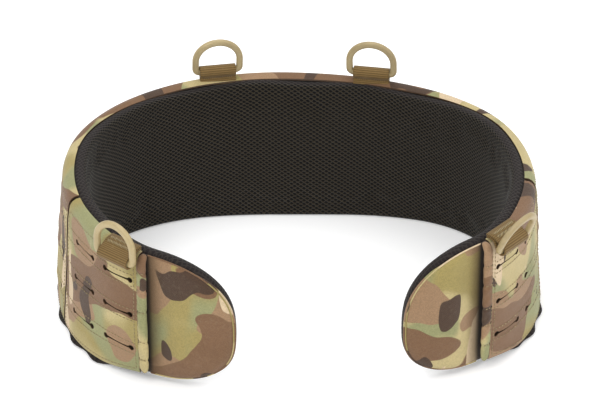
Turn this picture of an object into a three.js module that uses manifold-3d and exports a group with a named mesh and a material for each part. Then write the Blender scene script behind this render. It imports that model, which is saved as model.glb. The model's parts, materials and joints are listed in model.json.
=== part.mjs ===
// A padded waist belt, open at the front: a mesh-lined foam pad with rounded front flaps, a cloth shell,
// a slotted load panel in three sections that leaves a flat tunnel behind it, and four D-rings on tabs.
// Millimetres, +Z up. The back of the belt is at +Y and the open front at -Y.
//
// The belt is drawn in its own coordinates: s runs along the panel's outer face from the middle of the back,
// positive to the right; n is the distance outward from that face; z is the height.
import * as THREE from "three";
import { mergeVertices } from "three/addons/utils/BufferGeometryUtils.js";
import Module from "manifold-3d";

// Driving dimensions
const HEIGHT = 101;
const WALL = 15;
const PAD = 8;
const SHELL = 2;
const PANEL = 1.6;
const GAP = 0.3;
const SLIT = 1.6;
const CROWN = 2.5;
const FOOT_FADE = { from: 300.2, length: 17.4 };
const FOOT_REACH = 9;

const BELT_END = { left: 400, right: 396 };
const FLAP_START = 341;
const FLAP_ROUNDNESS = { low: 3, high: 2.4 };
const FLAP_STATIONS = [0.22, 0.42, 0.6, 0.75, 0.87, 0.95, 0.99, 0.999];
const TIP_HEIGHT = 44;
const HEM_START = 335;
const SECTION_SEAM = 248;

const SLOT = { length: 26, width: 1.4, eye: 1.7 };
const GRID = { pitch: 38.1, row: 25.4, firstRow: 25 };
const BACK_COLUMNS = 13;
const SIDE_COLUMNS = [282.5, 318.5];

const RING = { width: 34.8, height: 28, bar: 4.6, thick: 3.8, leg: 9, corner: 3 };
const TAB = { width: 24.6, thick: 1.4, eye: 2.7 };
const RING_FRONT = { s: 322, n: 4.6, z: 92, lean: { left: 0, right: -24 } };
const RING_BACK = { left: -42, right: 64, n: -7.5, rise: 5.4, lean: 8 };

// Plan of the panel's outer face from the middle of the back: each row is an arc, its length and its turn.
const BACK_MIDDLE = { x: -14.5, y: 95, heading: 0 };
const PLAN_RIGHT = [
  { length: 45, turn: 5 },
  { length: 54, turn: 15 },
  { length: 46, turn: 24 },
  { length: 47, turn: 27 },
  { length: 57, turn: 23 },
  { length: 51, turn: 21 },
  { length: 42, turn: 27 },
  { length: 61, turn: 31 },
];
const PLAN_LEFT = [
  { length: 49, turn: 12 },
  { length: 56, turn: 23 },
  { length: 46, turn: 27 },
  { length: 46, turn: 25 },
  { length: 57, turn: 21 },
  { length: 51, turn: 22 },
  { length: 42, turn: 24 },
  { length: 56, turn: 26 },
];

// How far the top edge and the foot stand out from mid height, along the belt.
const FLARE = [
  { s: 0, top: 8, foot: -5 },
  { s: 150, top: -3, foot: 3 },
  { s: 275, top: -1, foot: 6 },
  { s: 341, top: 2, foot: 1 },
  { s: 403, top: 5, foot: -2 },
];
// Lowest and highest edge of the pad along the belt, before the flaps are rounded.
const EDGES = [
  { s: 0, low: 0, high: HEIGHT },
  { s: 150, low: 0, high: HEIGHT },
  { s: 300, low: 0, high: HEIGHT - 4 },
  { s: 341, low: 4, high: HEIGHT - 5 },
  { s: 403, low: 5, high: HEIGHT - 6 },
];

const wasm = await Module();
wasm.setup();

const smooth = (t) => t * t * (3 - 2 * t);

// Value of a named column at a place along the belt, eased from row to row.
function column(table, name, s) {
  const at = Math.min(Math.abs(s), table[table.length - 1].s);
  let i = 0;
  while (i < table.length - 2 && at > table[i + 1].s) i += 1;
  const a = table[i];
  const b = table[i + 1];
  return a[name] + (b[name] - a[name]) * smooth((at - a.s) / (b.s - a.s));
}

// Point and heading of the plan curve at s.
function planAt(s) {
  const side = s < 0 ? -1 : 1;
  const rows = s < 0 ? PLAN_LEFT : PLAN_RIGHT;
  let left = Math.abs(s);
  let heading = THREE.MathUtils.degToRad(BACK_MIDDLE.heading);
  let { x, y } = BACK_MIDDLE;
  for (const row of rows) {
    const length = Math.min(left, row.length);
    const turn = (THREE.MathUtils.degToRad(row.turn) * length) / row.length;
    const chord = turn === 0 ? length : (2 * length * Math.sin(turn / 2)) / turn;
    const middle = heading - (side * turn) / 2;
    x += side * chord * Math.cos(middle);
    y += side * chord * Math.sin(middle);
    heading -= side * turn;
    left -= length;
    if (left <= 0) break;
  }
  return { x, y, heading };
}

// Belt coordinates to space, with the wall's flare and the crown of its outer faces at mid height.
function wrap(s, n, z) {
  const { x, y, heading } = planAt(s);
  const top = column(FLARE, "top", s);
  const foot = column(FLARE, "foot", s);
  const u = (2 * z) / HEIGHT - 1;
  const crown = (CROWN * (1 - u * u) * (n + WALL)) / WALL;
  const out = n + crown + 0.5 * (top - foot) * u + 0.5 * (top + foot) * u * u;
  return new THREE.Vector3(x - Math.sin(heading) * out, y + Math.cos(heading) * out, z);
}

const tangent = (s) => {
  const { heading } = planAt(s);
  return new THREE.Vector3(Math.cos(heading), Math.sin(heading), 0);
};

// Pad edges with the flap's rounded end.
function padEdges(s) {
  const low = column(EDGES, "low", s);
  const high = column(EDGES, "high", s);
  const end = s < 0 ? BELT_END.left : BELT_END.right;
  const t = Math.max(0, (Math.abs(s) - FLAP_START) / (end - FLAP_START));
  const share = (power) => Math.pow(1 - Math.pow(Math.min(t, 1), power), 1 / power);
  return {
    low: TIP_HEIGHT - (TIP_HEIGHT - low) * share(FLAP_ROUNDNESS.low),
    high: TIP_HEIGHT + (high - TIP_HEIGHT) * share(FLAP_ROUNDNESS.high),
  };
}

// Falls from 1 to 0 over a stretch of the belt.
const fade = (s, from, length) => 1 - smooth(THREE.MathUtils.clamp((Math.abs(s) - from) / length, 0, 1));

// Under the panel the pad's lower edge swells outward as a foot, and the shell stops above it.
const footShare = (s) => fade(s, FOOT_FADE.from, FOOT_FADE.length);
const shellRise = (s) => fade(s, HEM_START, 12);

// Closed body through rings of points, capped at both ends, or joined end to end.
function loft(rings, closed = false) {
  const count = rings[0].length;
  const positions = rings.flat().flatMap((p) => [p.x, p.y, p.z]);
  const index = [];
  const spans = closed ? rings.length : rings.length - 1;
  for (let i = 0; i < spans; i += 1) {
    const a = i * count;
    const b = ((i + 1) % rings.length) * count;
    for (let j = 0; j < count; j += 1) {
      const k = (j + 1) % count;
      index.push(a + j, b + j, b + k, a + j, b + k, a + k);
    }
  }
  if (!closed) {
    const flat = capPlan(rings[0]);
    const faces = THREE.ShapeUtils.triangulateShape(flat, []);
    const last = (rings.length - 1) * count;
    for (const [p, q, r] of faces) index.push(p, q, r, last + p, last + r, last + q);
  }
  const geometry = new THREE.BufferGeometry();
  geometry.setAttribute("position", new THREE.Float32BufferAttribute(positions, 3));
  geometry.setIndex(index);
  return facingOut(geometry);
}

// A ring of points seen along its own axis, as a flat outline for the end caps.
function capPlan(ring) {
  const normal = new THREE.Vector3();
  ring.forEach((p, i) => {
    normal.add(new THREE.Vector3().crossVectors(p, ring[(i + 1) % ring.length]));
  });
  normal.normalize();
  const across = new THREE.Vector3().crossVectors(new THREE.Vector3(0, 0, 1), normal).normalize();
  const up = new THREE.Vector3().crossVectors(normal, across);
  return ring.map((p) => new THREE.Vector2(p.dot(across), p.dot(up)));
}

function facingOut(geometry) {
  const p = geometry.attributes.position;
  const index = geometry.index.array;
  let volume = 0;
  const [a, b, c] = [new THREE.Vector3(), new THREE.Vector3(), new THREE.Vector3()];
  for (let i = 0; i < index.length; i += 3) {
    a.fromBufferAttribute(p, index[i]);
    b.fromBufferAttribute(p, index[i + 1]);
    c.fromBufferAttribute(p, index[i + 2]);
    volume += a.dot(b.cross(c));
  }
  if (volume < 0) {
    geometry.setIndex(Array.from(index).reverse());
  }
  return geometry;
}

function toSolid(geometry) {
  const plain = geometry.clone();
  plain.deleteAttribute("normal");
  plain.deleteAttribute("uv");
  const merged = mergeVertices(plain, 1e-4);
  return new wasm.Manifold(new wasm.Mesh({
    numProp: 3,
    vertProperties: new Float32Array(merged.attributes.position.array),
    triVerts: new Uint32Array(merged.index.array),
  }));
}

function fromSolid(solid) {
  const mesh = solid.getMesh();
  const geometry = new THREE.BufferGeometry();
  geometry.setAttribute("position", new THREE.Float32BufferAttribute(mesh.vertProperties, 3));
  geometry.setIndex(Array.from(mesh.triVerts));
  return geometry;
}

function stations(from, to, step) {
  const count = Math.max(1, Math.round((to - from) / step));
  return Array.from({ length: count + 1 }, (_, i) => from + ((to - from) * i) / count);
}

// Stations over the whole belt, two to a slot column, closer together where a flap's end rounds.
function beltStations() {
  const half = (end) => [
    ...stations(0, SECTION_SEAM, GRID.pitch / 2).slice(1),
    ...stations(SECTION_SEAM, HEM_START, 18).slice(1),
    FLAP_START,
    ...FLAP_STATIONS.map((share) => FLAP_START + share * (end - FLAP_START)),
  ];
  return [...half(BELT_END.left).map((s) => -s).reverse(), 0, ...half(BELT_END.right)];
}

// Points up a face between two heights, both ends left out.
function between(n, from, to, count = 3) {
  return Array.from({ length: count }, (_, i) => [n, from + ((to - from) * (i + 1)) / (count + 1)]);
}

const sweep = (at, section) => loft(at.map((s) => section(s).map(([n, z]) => wrap(s, n, z))));

// Foam pad with its mesh face: rounded rim, and a foot with a flat sole that swells out below the panel.
function liningSection(s) {
  const { low, high } = padEdges(s);
  const inner = -WALL;
  const outer = -WALL + PAD;
  const rim = Math.min(2.5, (high - low) / 5);
  const share = footShare(s);
  const reach = outer + FOOT_REACH * share;
  const swell = Math.min(6.5, (high - low) / 3);
  return [
    [inner, low + rim],
    ...between(inner, low + rim, high - rim),
    [inner, high - rim],
    [inner + 1.5, high - rim * 0.2],
    [(inner + outer) / 2, high],
    [outer - 1.2, high - rim * 0.2],
    [outer, high - rim],
    ...between(outer, high - rim, low + swell),
    [outer, low + swell],
    [outer + (reach - outer) * 0.8, low + swell - 1.2],
    [reach, low + swell * 0.45],
    [reach - 0.8, low + swell * 0.12],
    [reach - 3, low],
    [inner + 2.5, low],
    [inner + 0.8, low + rim * 0.3],
  ];
}

// Cloth shell over the pad's outer face.
function shellSection(s) {
  const { low, high } = padEdges(s);
  const share = shellRise(s);
  const inner = -WALL + PAD + GAP;
  const outer = inner + SHELL;
  const bottom = low + 0.6 + 7 * share;
  const top = high - 0.6 - 3.2 * share;
  const edge = Math.min(4, (top - bottom) / 4);
  return [
    [inner, bottom],
    [outer - 0.8, bottom],
    [outer, bottom + edge],
    ...between(outer, bottom + edge, top - edge),
    [outer, top - edge],
    [outer - 0.8, top],
    [inner, top],
    ...between(inner, top, bottom),
  ];
}

// Load panel: flat face, top rolled in to the seam, foot turned in to close the tunnel below.
function panelSection(s) {
  const { low, high } = padEdges(s);
  const seam = -WALL + PAD + GAP;
  const sill = seam + SHELL + GAP;
  return [
    [sill, low + 7],
    [-1.2, low + 7],
    [0, low + 8.2],
    ...between(0, low + 8.2, high - 7),
    [0, high - 7],
    [-0.8, high - 3.6],
    [-3, high - 1.2],
    [seam, high - 0.2],
    [seam, high - 1.9],
    [-3.8, high - 2.9],
    [-2.3, high - 4.4],
    [-PANEL, high - 7.6],
    ...between(-PANEL, high - 7.6, low + 9),
    [-PANEL, low + 9],
    [-2, low + 8.6],
    [sill, low + 8.6],
  ];
}

// Dog-bone slot: a narrow cut with a round eye at each end.
function slotCutter(centre, z) {
  const outline = [];
  const half = SLOT.length / 2 - SLOT.eye;
  const mouth = Math.asin(SLOT.width / 2 / SLOT.eye);
  const turns = 4;
  for (const end of [1, -1]) {
    const first = end > 0 ? -Math.PI + mouth : mouth;
    const sweepAngle = 2 * Math.PI - 2 * mouth;
    for (let i = 0; i <= turns; i += 1) {
      const angle = first + (sweepAngle * i) / turns;
      outline.push([centre + end * half + SLOT.eye * Math.cos(angle), z + SLOT.eye * Math.sin(angle)]);
    }
  }
  return loft([-PANEL - 1.4, 1].map((n) => outline.map(([s, h]) => wrap(s, n, h))));
}

function slottedPanel(from, to, columns) {
  let solid = toSolid(sweep(stations(from, to, GRID.pitch / 2), panelSection));
  for (const centre of columns) {
    for (let row = 0; row < 3; row += 1) {
      solid = solid.subtract(toSolid(slotCutter(centre, GRID.firstRow + row * GRID.row)));
    }
  }
  return fromSolid(solid);
}

// Folded hem at the panel's front end: thicker than the panel, with a rounded nose.
function hem(side) {
  const rows = [
    { s: HEM_START + GAP, back: -PANEL, face: 0 },
    { s: HEM_START + 2, back: -2.3, face: 0.7 },
    { s: HEM_START + 4.2, back: -2.5, face: 0.9 },
    { s: FLAP_START - 0.7, back: -2.1, face: 0.5 },
    { s: FLAP_START, back: -1.5, face: -0.1 },
  ];
  const rings = rows.map(({ s, back, face }) => {
    const { low, high } = padEdges(s);
    const [bottom, top] = [low + 8, high - 7.5];
    const outline = [
      [back, bottom],
      [face, bottom],
      ...between(face, bottom, top),
      [face, top - 1.5],
      [face - 1, top],
      [back, top],
      ...between(back, top, bottom),
    ];
    return outline.map(([n, z]) => wrap(side * s, n, z));
  });
  return loft(rings);
}

// The upright plane across the belt at s, centred on a ring's bar. A point held clear of the wall
// lies off whatever stands out most over the width of a tab.
function barPlane(s, n, z) {
  const along = tangent(s);
  const out = new THREE.Vector3(-along.y, along.x, 0);
  const base = wrap(s, n, z);
  const clear = (m, h) => {
    const reach = [-1, -0.5, 0, 0.5, 1].map((k) => {
      return wrap(s + (k * TAB.width) / 2, m, h).sub(base).dot(out);
    });
    return new THREE.Vector2(Math.max(...reach), h - base.z);
  };
  return { along, out, base, clear };
}

// Webbing tab: an outline in the bar's plane, pushed straight along the bar, with the bar's eye through it.
function tab(plane, outline) {
  const { along, out, base } = plane;
  const shape = new THREE.Shape(outline);
  const hole = new THREE.Path();
  hole.absarc(0, 0, TAB.eye, 0, Math.PI * 2, true);
  shape.holes.push(hole);
  const options = { depth: TAB.width, steps: 1, bevelEnabled: false, curveSegments: 7 };
  const geometry = new THREE.ExtrudeGeometry(shape, options);
  geometry.deleteAttribute("normal");
  geometry.deleteAttribute("uv");
  const merged = mergeVertices(geometry, 1e-4);
  const frame = new THREE.Matrix4().makeBasis(out, new THREE.Vector3(0, 0, 1), along.clone().negate());
  merged.translate(0, 0, -TAB.width / 2).applyMatrix4(frame).translate(base.x, base.y, base.z);
  return facingOut(merged);
}

// Round part of a tab's outline about its eye, between two angles in degrees.
function eyeArc(from, to, count) {
  const radius = TAB.eye + TAB.thick;
  return Array.from({ length: count + 1 }, (_, i) => {
    const angle = THREE.MathUtils.degToRad(from + ((to - from) * i) / count);
    return new THREE.Vector2(radius * Math.cos(angle), radius * Math.sin(angle));
  });
}

// Front tab: from the top seam over the edge and down the panel's face, folded round the bar.
function frontTab(side) {
  const s = side * RING_FRONT.s;
  const { n, z } = RING_FRONT;
  const plane = barPlane(s, n, z);
  const { clear } = plane;
  const { high } = padEdges(RING_FRONT.s - TAB.width / 2);
  const lift = GAP + 0.1;
  return tab(plane, [
    clear(-6.2, high + lift),
    clear(-2.8, high - 0.9 + lift),
    clear(lift - 0.4, high - 3.6 + lift),
    clear(lift, high - 7),
    clear(lift, z - 6.5),
    clear(lift + TAB.thick, z - 6.5),
    ...eyeArc(-120, 120, 8),
    clear(0.6, high + 1.2),
    clear(-1.8, high + 2.2),
    clear(-6.2, high + 2),
  ]);
}

// Back tab: two plies that stand up from the top seam and close round the bar.
function backTab(s) {
  const { high } = padEdges(s);
  const z = high + RING_BACK.rise;
  const half = TAB.thick + 0.1;
  const foot = high + GAP - z;
  return tab(barPlane(s, RING_BACK.n, z), [
    new THREE.Vector2(-half, foot),
    new THREE.Vector2(half, foot),
    new THREE.Vector2(half, foot + 2.5),
    ...eyeArc(-60, 240, 10),
    new THREE.Vector2(-half, foot + 2.5),
  ]);
}

// D-ring: straight bar, short legs and an arched top, of flattened wire, leaning inward by some degrees.
function ring(s, n, z, lean) {
  const { along, out, base } = barPlane(s, n, z);
  const tilt = THREE.MathUtils.degToRad(lean);
  const rise = new THREE.Vector3(0, 0, Math.cos(tilt)).addScaledVector(out, -Math.sin(tilt));
  const face = out.clone().multiplyScalar(Math.cos(tilt)).add(new THREE.Vector3(0, 0, Math.sin(tilt)));
  const half = (RING.width - RING.bar) / 2;
  const top = RING.height - RING.bar;
  const path = new THREE.Path();
  path.moveTo(-half + RING.corner, 0);
  path.lineTo(half - RING.corner, 0);
  path.absarc(half - RING.corner, RING.corner, RING.corner, -Math.PI / 2, 0, false);
  path.lineTo(half, RING.leg);
  path.absellipse(0, RING.leg, half, top - RING.leg, 0, Math.PI, false, 0);
  path.lineTo(-half, RING.corner);
  path.absarc(-half + RING.corner, RING.corner, RING.corner, Math.PI, 1.5 * Math.PI, false);
  const count = 28;
  const sides = 6;
  const rings = [];
  for (let i = 0; i < count; i += 1) {
    const point = path.getPointAt(i / count);
    const way = path.getTangentAt(i / count);
    const section = [];
    for (let j = 0; j < sides; j += 1) {
      const angle = (2 * Math.PI * (j + 0.5)) / sides;
      const across = (RING.bar / 2) * Math.cos(angle);
      const depth = (RING.thick / 2) * Math.sin(angle);
      section.push(base.clone()
        .addScaledVector(along, point.x + way.y * across)
        .addScaledVector(face, depth)
        .addScaledVector(rise, point.y - way.x * across));
    }
    rings.push(section);
  }
  return loft(rings, true);
}

const CLOTH = { color: 0xb3a483, roughness: 0.9, metalness: 0 };
const MESH = { color: 0x2d2b2a, roughness: 0.95, metalness: 0 };
const WEBBING = { color: 0x786230, roughness: 0.85, metalness: 0 };
const COATED = { color: 0xaa9b73, roughness: 0.45, metalness: 0.2 };

const belt = new THREE.Group();
function add(name, geometry, finish) {
  const mesh = new THREE.Mesh(geometry, new THREE.MeshStandardMaterial(finish));
  mesh.name = name;
  belt.add(mesh);
}

add("mesh_lining", sweep(beltStations(), liningSection), MESH);
add("pad_shell", sweep(beltStations(), shellSection), CLOTH);

const seamEdge = SECTION_SEAM - SLIT / 2;
const backColumns = Array.from({ length: BACK_COLUMNS }, (_, i) => {
  return (i - (BACK_COLUMNS - 1) / 2) * GRID.pitch;
});
const leftColumns = SIDE_COLUMNS.map((s) => -s);
add("molle_panel_back", slottedPanel(-seamEdge, seamEdge, backColumns), CLOTH);
add("molle_panel_left", slottedPanel(-HEM_START, -SECTION_SEAM - SLIT / 2, leftColumns), CLOTH);
add("molle_panel_right", slottedPanel(SECTION_SEAM + SLIT / 2, HEM_START, SIDE_COLUMNS), CLOTH);
add("sleeve_hem_left", hem(-1), CLOTH);
add("sleeve_hem_right", hem(1), CLOTH);

const SIDES = [["left", -1], ["right", 1]];
for (const [word, side] of SIDES) {
  add(`tab_front_${word}`, frontTab(side), WEBBING);
  const { n, z, lean } = RING_FRONT;
  add(`ring_front_${word}`, ring(side * RING_FRONT.s, n, z, lean[word]), COATED);
  const s = RING_BACK[word];
  const barHeight = padEdges(s).high + RING_BACK.rise;
  add(`tab_back_${word}`, backTab(s), WEBBING);
  add(`ring_back_${word}`, ring(s, RING_BACK.n, barHeight, RING_BACK.lean), COATED);
}

// The origin is the middle of the belt's box, on the surface that it stands on.
const box = new THREE.Box3().setFromObject(belt);
belt.position.set(-(box.min.x + box.max.x) / 2, -(box.min.y + box.max.y) / 2, -box.min.z);

export default belt;
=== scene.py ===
"""A padded waist belt, open at the front: mesh-lined pad, printed cloth, slotted load panel, D-rings.

Every soft piece is modelled flat, as it is cut, and then bent round the belt's plan. Flat coordinates are
x along the belt from the middle of the back, y outward from the panel's face, and z up, in millimetres.
"""
import json
import math

import bpy
import numpy as np
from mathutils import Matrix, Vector


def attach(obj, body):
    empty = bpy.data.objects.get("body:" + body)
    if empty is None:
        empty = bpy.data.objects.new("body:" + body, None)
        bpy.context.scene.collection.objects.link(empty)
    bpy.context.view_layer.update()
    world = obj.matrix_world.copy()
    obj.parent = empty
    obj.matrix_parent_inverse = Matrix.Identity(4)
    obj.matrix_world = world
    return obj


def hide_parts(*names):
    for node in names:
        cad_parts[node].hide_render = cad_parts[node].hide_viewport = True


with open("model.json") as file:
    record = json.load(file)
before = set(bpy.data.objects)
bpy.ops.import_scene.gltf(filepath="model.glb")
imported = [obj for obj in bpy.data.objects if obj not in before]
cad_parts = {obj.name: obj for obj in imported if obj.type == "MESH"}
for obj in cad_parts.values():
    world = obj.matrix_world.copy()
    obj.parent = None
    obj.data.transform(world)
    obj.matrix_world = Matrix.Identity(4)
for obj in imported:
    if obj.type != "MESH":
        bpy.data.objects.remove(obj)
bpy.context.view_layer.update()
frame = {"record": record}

# Driving sizes in millimetres
MM = 0.001
HEIGHT = 101  # the pad at the back, foot to top edge
WALL = 15  # the lining's inner face to the panel's face
PAD = 8  # thickness of the foam and its mesh
CROWN = 2.5  # how far the wall bellies out at middle height
FLAP_START = 341  # places along the belt are from the middle of the back
BELT_END = {-1: 400, 1: 396}
FLAP_ROUNDNESS = {"low": 3.0, "high": 2.4}  # exponents of the rounding; 2 is an ellipse
TIP_HEIGHT = 44
TIP_SPACING = 2.6  # exponent that crowds columns towards a flap's tip
CLOTH_REACH = 0.965  # the printed cloth's outline as a share of the pad's
BACK_TUCK = 3.4  # how far the pad's top edge lies below the folded cloth at the back
HEM_START = 335
SECTION_SEAM = 252
SLIT = 3.2  # the gap between two sections of the panel
PANEL = 1.1
ROLL = 6.5  # radius of the panel's top edge
SLOT = {"length": 26, "width": 2.0, "eye": 2.0}
COLUMN_PITCH = 38.1
ROW_PITCH = 25.4
ROWS = 3
FIRST_ROW = 25
BACK_COLUMNS = 13
SIDE_COLUMNS = (282.5, 318.5)
STITCH_PITCH = 2.9
RING = {"width": 34.8, "height": 28, "bar": 4.6, "thick": 3.8, "leg": 9, "corner": 3, "squareness": 0.72}
TAB = {"width": 24.6, "thick": 1.4, "bend": 3.45}
# Where the ring bars lie, and by how many degrees each ring leans in; below 0 it leans out
FRONT_BAR = {"s": 322, "n": 4.6, "z": 92, "left": 0, "right": -24}
BACK_BAR = {"left": -42, "right": 64, "n": -7.5, "rise": 5.4, "lean": 8}

# Plan of the panel's face from the middle of the back: rows of length in millimetres and turn in degrees
BACK_MIDDLE = (-14.5, 95, 0)
PLAN = {
    1: ((45, 5), (54, 15), (46, 24), (47, 27), (57, 23), (51, 21), (42, 27), (61, 31)),
    -1: ((49, 12), (56, 23), (46, 27), (46, 25), (57, 21), (51, 22), (42, 24), (56, 26)),
}
# Rows of distance along the belt, lean of the top edge and lean of the foot
FLARE = ((0, 8, -5), (150, -3, 3), (275, -1, 6), (341, 2, 1), (403, 5, -2))
# Rows of distance along the belt, lowest and highest edge of the pad
EDGES = ((0, 0, 101), (150, 0, 101), (300, 0, 97), (341, 4, 96), (403, 5, 95))
SIDES = {"left": -1, "right": 1}


def ease(t):
    """A smooth step from 0 to 1."""
    t = np.clip(t, 0, 1)
    return t * t * (3 - 2 * t)


def column(table, index, s):
    """A column of a table at a place along the belt, eased from row to row."""
    at = np.abs(np.asarray(s, float))
    value = np.full(at.shape, float(table[0][index]))
    for a, b in zip(table, table[1:]):
        value += (b[index] - a[index]) * ease((at - a[0]) / (b[0] - a[0]))
    return value


def march(side):
    """Points every millimetre along one half of the plan: distance, x, y and heading."""
    x, y, heading = BACK_MIDDLE
    heading = math.radians(heading)
    points = [(0, x, y, heading)]
    for length, turn in PLAN[side]:
        step = math.radians(turn) / length
        for _ in range(length):
            middle = heading - side * step / 2
            x += side * math.cos(middle)
            y += side * math.sin(middle)
            heading -= side * step
            points.append((points[-1][0] + side, x, y, heading))
    return points


PLAN_POINTS = np.array(march(-1)[:0:-1] + march(1))


def wrap(flat):
    """Flat coordinates to the standing belt, before its origin is moved to the row's."""
    s, n, z = np.asarray(flat, float).reshape(-1, 3).T
    x, y, heading = (np.interp(s, PLAN_POINTS[:, 0], PLAN_POINTS[:, k]) for k in (1, 2, 3))
    top, foot = column(FLARE, 1, s), column(FLARE, 2, s)
    u = 2 * z / HEIGHT - 1
    out = n + CROWN * (1 - u * u) * (n + WALL) / WALL
    out = out + 0.5 * (top - foot) * u + 0.5 * (top + foot) * u * u
    return np.stack([x - np.sin(heading) * out, y + np.cos(heading) * out, z], axis=1)


def edges_at(s):
    """Lowest and highest edge of the pad at one place."""
    return float(column(EDGES, 1, s)), float(column(EDGES, 2, s))


def bar_place(end, word):
    """Flat coordinates of the middle of a ring's bar."""
    if end == "front":
        return SIDES[word] * FRONT_BAR["s"], FRONT_BAR["n"], FRONT_BAR["z"]
    s = BACK_BAR[word]
    return s, BACK_BAR["n"], edges_at(s)[1] + BACK_BAR["rise"]


# The row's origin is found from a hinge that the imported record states.
HINGE = {joint["child"]: joint for joint in frame["record"]["behaviour"]["joints"]}
SHIFT = np.array(HINGE["ring_back_left"]["pos_m"]) / MM - wrap(bar_place("back", "left"))[0]


def on_belt(flat):
    """Flat coordinates to the belt as it stands in the scene, in metres."""
    return (wrap(flat) + SHIFT) * MM


def edges(s):
    """Lowest and highest edge of the pad, and how far into the flap's rounding a place is, 0 to 1."""
    s = np.asarray(s, float)
    end = np.where(s < 0, BELT_END[-1], BELT_END[1])
    into = np.clip((np.abs(s) - FLAP_START) / (end - FLAP_START), 0, 1)
    return column(EDGES, 1, s), column(EDGES, 2, s), into


def reach_to_edge(above, low, high):
    """Reach from the tip's height to the edge of that half, and the exponent of its rounding."""
    reach = np.where(above, high - TIP_HEIGHT, TIP_HEIGHT - low)
    return reach, np.where(above, FLAP_ROUNDNESS["high"], FLAP_ROUNDNESS["low"])


def rim_share(s, z):
    """How near the pad's outline a place is: 0 at the middle height, 1 on the outline."""
    low, high, into = edges(s)
    reach, power = reach_to_edge(z > TIP_HEIGHT, low, high)
    across = np.abs(z - TIP_HEIGHT) / reach
    return (across**power + into**power) ** (1 / power), reach


def ripple(s, z):
    """Small waves of laid cloth, in millimetres."""
    a = np.sin(s * 0.115 + 1.3 * np.sin(z * 0.061) + 0.7)
    b = np.sin(s * 0.047 - z * 0.083 + 2.1)
    c = np.sin(s * 0.31 + z * 0.19) * np.sin(z * 0.27 - s * 0.05)
    return 0.22 * a + 0.16 * b + 0.1 * c


# Modelling helpers


def deselect():
    if bpy.context.object and bpy.context.object.mode != "OBJECT":
        bpy.ops.object.mode_set(mode="OBJECT")
    bpy.ops.object.select_all(action="DESELECT")


def active(piece):
    deselect()
    piece.select_set(True)
    bpy.context.view_layer.objects.active = piece


def primitive(add, name, **settings):
    """A new mesh by one of Blender's primitive operators."""
    deselect()
    add(**settings)
    piece = bpy.context.object
    piece.name = piece.data.name = name
    return piece


def modify(piece, kind, **settings):
    """Adds a modifier and applies it."""
    active(piece)
    modifier = piece.modifiers.new(kind.lower(), kind)
    for key, value in settings.items():
        setattr(modifier, key, value)
    bpy.ops.object.modifier_apply(modifier=modifier.name)


def in_edit(piece, *steps):
    """Runs edit-mode operators on the whole of a piece."""
    active(piece)
    bpy.ops.object.mode_set(mode="EDIT")
    bpy.ops.mesh.select_all(action="SELECT")
    for step, settings in steps:
        step(**settings)
    bpy.ops.object.mode_set(mode="OBJECT")


OUTWARD = (bpy.ops.mesh.normals_make_consistent, {"inside": False})


def points_of(piece):
    points = np.empty(len(piece.data.vertices) * 3, np.float32)
    piece.data.vertices.foreach_get("co", points)
    return points.reshape(-1, 3).astype(float)


def put_points(piece, points):
    piece.data.vertices.foreach_set("co", np.asarray(points, np.float32).ravel())
    piece.data.update()


def keep_pattern(piece, points):
    """Stores the coordinates that a woven or printed pattern follows, in metres."""
    layer = piece.data.attributes.new("cloth", "FLOAT_VECTOR", "POINT")
    layer.data.foreach_set("vector", np.asarray(points * MM, np.float32).ravel())


def bend(piece, pattern=None):
    """Bends a flat piece round the belt. Its pattern follows its own flat points, or those given."""
    flat = points_of(piece)
    keep_pattern(piece, flat if pattern is None else pattern)
    put_points(piece, on_belt(flat))


def puff(piece, held, cap):
    """Swells a flat padded piece by cloth simulation where it isn't held.

    No point moves by more than the cap in millimetres."""
    start = points_of(piece)
    put_points(piece, start * MM)
    pins = piece.vertex_groups.new(name="held")
    for value in np.unique(np.round(held, 1)):
        which = np.flatnonzero(np.round(held, 1) == value)
        pins.add(which.tolist(), float(value), "REPLACE")
    active(piece)
    cloth = piece.modifiers.new("cloth", "CLOTH")
    for key, value in {
        "vertex_group_mass": "held", "pin_stiffness": 2.0, "mass": 0.2, "quality": 5,
        "use_pressure": True, "uniform_pressure_force": 4.0, "shrink_min": -0.02,
    }.items():
        setattr(cloth.settings, key, value)
    cloth.settings.effector_weights.gravity = 0.0
    cloth.point_cache.frame_start, cloth.point_cache.frame_end = 1, 20
    for number in range(1, 21):
        bpy.context.scene.frame_set(number)
    bpy.ops.object.modifier_apply(modifier=cloth.name)
    bpy.context.scene.frame_set(1)
    piece.vertex_groups.clear()
    move = points_of(piece) / MM - start
    length = np.linalg.norm(move, axis=1, keepdims=True)
    put_points(piece, start + move * np.minimum(1, cap / np.maximum(length, 1e-6)))


def placed(name, data):
    """A new object in the scene."""
    thing = bpy.data.objects.new(name, data)
    bpy.context.collection.objects.link(thing)
    return thing


def flat_grid(name, columns, rows, place):
    """A grid with its face to +y, whose crossings go where place puts them."""
    size = {"x_subdivisions": columns, "y_subdivisions": rows, "size": 1}
    piece = primitive(bpy.ops.mesh.primitive_grid_add, name, **size)
    points = points_of(piece)
    put_points(piece, place(points[:, 0] + 0.5, points[:, 1] + 0.5))
    in_edit(piece, (bpy.ops.mesh.flip_normals, {}))
    return piece


def finish(piece, material=None, body="belt", stands_for=(), sharp=60):
    """Gives a piece its material, its body and the nodes it stands for.

    Edges that turn by more than the sharp angle stay sharp in its shading."""
    active(piece)
    bpy.ops.object.shade_smooth_by_angle(angle=math.radians(sharp))
    if material:
        piece.data.materials.clear()
        piece.data.materials.append(material)
    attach(piece, body)
    if stands_for:
        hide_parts(*stands_for)


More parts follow.
